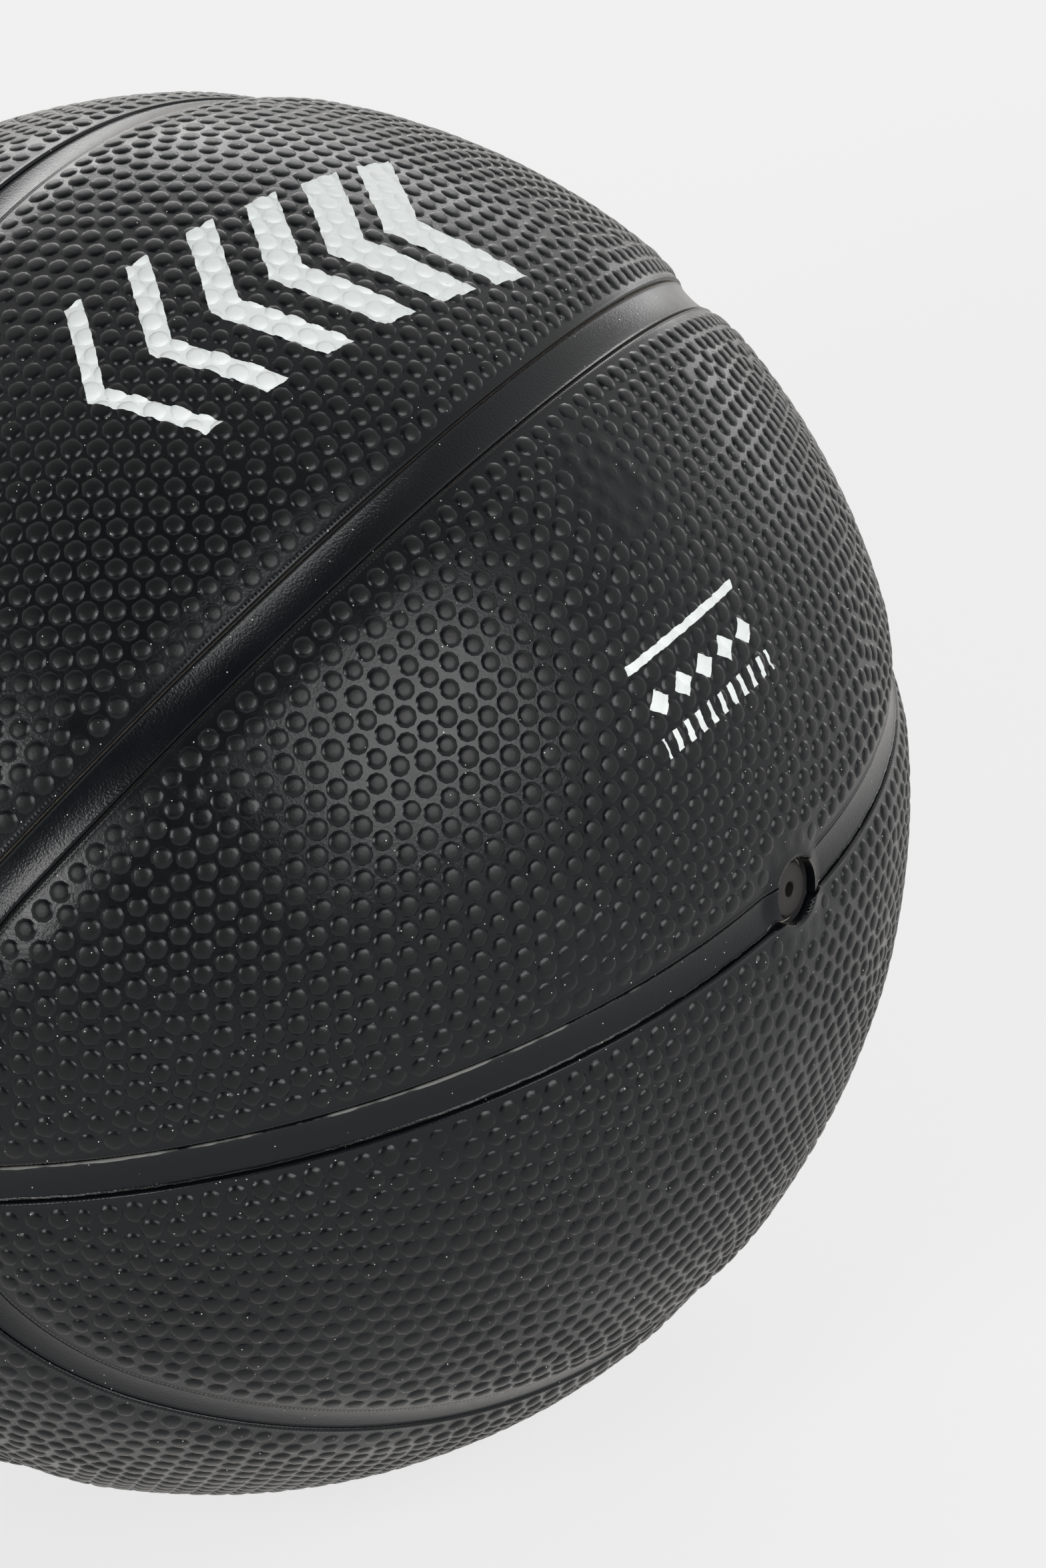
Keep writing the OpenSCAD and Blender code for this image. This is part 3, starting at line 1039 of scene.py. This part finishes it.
# Plain rubbers of the valve and the inner layers: two tones in soft clouds over a fine grain.
# Name, tones, roughness, sizes of the clouds and the grain, and the grain's depth
plainLooks = (
    ("bootRubber", ("#0b0a09", "#131110"), 0.5, 3.0, 0.3, 0.03),
    ("plugRubber", ("#161312", "#211d1b"), 0.62, 1.6, 0.25, 0.03),
    ("carcassRubber", ("#2b2b2d", "#3a3a3c"), 0.7, 12.0, 0.8, 0.05),
    ("butylBladder", ("#1a1a1b", "#262627"), 0.45, 15.0, 1.0, 0.04),
    ("patchGum", ("#6e3227", "#84402f"), 0.65, 4.0, 0.5, 0.05),
)


def plainRubber(name, tones, rough, cloudSize, grainSize, depth):
    material, tree, point = newMaterial(name)
    cloud = noise(tree, point, cloudSize, detail=4).outputs["Fac"]
    grain = noise(tree, point, grainSize, detail=3).outputs["Fac"]
    finishSurface(tree, mixColours(tree, cloud, *tones), rough, grain, depth, {"IOR": 1.5})
    return material


# Wound nylon thread: pale satin strands that cross in every direction over the bladder, with painted shade
# in the gaps between them
threadLook = {
    # the gap tone is a darker copy of the thread's tone: painted shade between the strands
    "thread": "#d8d2c4", "gap": "#8d8676", "rough": 0.45, "ior": 1.53, "spacing": 1.1, "depth": 0.15,
    "gapTo": -0.3, "threadFrom": 0.8,        # levels of the waves where the gap ends and the thread is full
    "courses": ((0.0, 0.35, 0.94), (0.88, -0.35, 0.31), (-0.6, 0.75, 0.28)),
}


def nylonThread(name, look):
    material, tree, point = newMaterial(name)
    rate = 2 * math.pi / (look["spacing"] * mm)
    height = None
    for axis in look["courses"]:
        wave = calc(tree, "SINE", calc(tree, "MULTIPLY", dotProduct(tree, point, axis), rate))
        height = wave if height is None else calc(tree, "MAXIMUM", height, wave)
    share = remap(tree, height, look["gapTo"], look["threadFrom"])
    # painted shade: the colour darkens where the strands dip into the gaps
    colour = mixColours(tree, share, look["gap"], look["thread"])
    finishSurface(tree, colour, look["rough"], share, look["depth"], {"IOR": look["ior"]})
    return material


bareCover = coverRubber("mouldedCoverRubber")
chevronCover = coverRubber("mouldedCoverRubberChevrons", chevronInk, chevronPrint)
labelCover = coverRubber("mouldedCoverRubberLabel", labelInk, labelPrint)
printed = {"valve_side_top_panel": chevronCover, "valve_side_upper_panel": labelCover}
for node, panel in panels.items():
    giveMaterial(panel, printed.get(node, bareCover))
smoothRubber = stripRubber("smoothStripRubber")
for strip in strips.values():
    giveMaterial(strip, smoothRubber)
rubbers = {plan[0]: plainRubber(*plan) for plan in plainLooks}
giveMaterial(boot, rubbers["bootRubber"])
giveMaterial(plug, rubbers["plugRubber"])
innerLayers = {
    "carcass": rubbers["carcassRubber"],
    "winding": nylonThread("woundNylonThread", threadLook),
    "bladder": rubbers["butylBladder"],
    "valve_patch": rubbers["patchGum"],
}
for node, material in innerLayers.items():
    giveMaterial(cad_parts[node], material)
print("materials given")


# Pale floor and surroundings, two softboxes beside the camera and two behind the ball
studio = {
    "background": "#f4f4f4",
    "floorRadius": 20.0,
    "floorShare": 0.82,      # share of the floor's tone that doesn't take shadow
    "surround": 0.18,        # brightness of the soft light from all round
    "roomTone": 0.12,        # the room on the camera's side, as gloss shows it
    "roomFrom": 0.1,         # where the backdrop ends and the room starts
    "roomTo": 0.7,
}
# Name, direction right, up and towards the camera, distance, width, height and brightness
softboxes = (
    ("rightBox", (0.5, 0.16, 0.85), 0.9, 0.62, 0.45, 6.2),
    ("leftBox", (-0.6, -0.05, 0.8), 0.9, 0.16, 0.36, 15.0),
    ("topBox", (0.0, 0.85, -0.58), 1.0, 0.9, 0.4, 3.6),
    ("rimBox", (0.74, 0.56, -0.64), 1.0, 0.56, 0.22, 2.3),
)


def makeSoftbox(name, aim, distance, width, height, brightness):
    towards = (viewRight * aim[0] + viewUp * aim[1] + viewBack * aim[2]).normalized()
    bpy.ops.object.light_add(type="AREA")
    lamp = bpy.context.object
    lamp.name = name
    lamp.data.shape = "RECTANGLE"
    lamp.data.size = width
    lamp.data.size_y = height
    lamp.data.energy = brightness * math.pi * width * height
    turn = towards.to_track_quat("Z", "Y").to_matrix().to_4x4()
    lamp.matrix_world = Matrix.Translation(towards * distance) @ turn


def seenRays(tree):    # rays that show the background itself: the camera's, and those in gloss and glass
    path = addNode(tree, "ShaderNodeLightPath").outputs
    seen = calc(tree, "MAXIMUM", path["Is Camera Ray"], path["Is Glossy Ray"])
    return calc(tree, "MAXIMUM", seen, path["Is Transmission Ray"])


def makeFloor():
    bpy.ops.mesh.primitive_circle_add(
        vertices=128, radius=studio["floorRadius"], fill_type="NGON", location=(0, 0, cadLow.z))
    floor = bpy.context.object
    floor.name = "studioFloor"
    bpy.ops.object.transform_apply(location=True, rotation=False, scale=False)
    material = bpy.data.materials.new("paleFloor")
    tree = emptyTree(material)
    tone = linearColour(studio["background"])
    paper = addNode(tree, "ShaderNodeBsdfDiffuse", {"Color": tone}).outputs[0]
    glow = addNode(tree, "ShaderNodeEmission", {"Color": tone}).outputs[0]
    share = calc(tree, "MULTIPLY", seenRays(tree), studio["floorShare"])
    both = addNode(tree, "ShaderNodeMixShader", {0: share, 1: paper, 2: glow}).outputs[0]
    addNode(tree, "ShaderNodeOutputMaterial", {"Surface": both})
    giveMaterial(floor, material)


def makeWorld():
    world = bpy.data.worlds.new("studioSurround")
    bpy.context.scene.world = world
    tree = emptyTree(world)
    front = dotProduct(tree, addNode(tree, "ShaderNodeTexCoord").outputs["Generated"], viewBack)
    room = remap(tree, front, studio["roomFrom"], studio["roomTo"], 1.0, studio["roomTone"])
    camera = addNode(tree, "ShaderNodeLightPath").outputs["Is Camera Ray"]
    backdrop = calc(tree, "MAXIMUM", room, camera)
    level = mixLevels(tree, seenRays(tree), studio["surround"], backdrop)
    tone = linearColour(studio["background"])
    shell = addNode(tree, "ShaderNodeBackground", {"Color": tone, "Strength": level}).outputs[0]
    addNode(tree, "ShaderNodeOutputWorld", {"Surface": shell})


for plan in softboxes:
    makeSoftbox(*plan)
makeFloor()
makeWorld()
bpy.context.scene.view_settings.view_transform = "Standard"
print("studio lit")
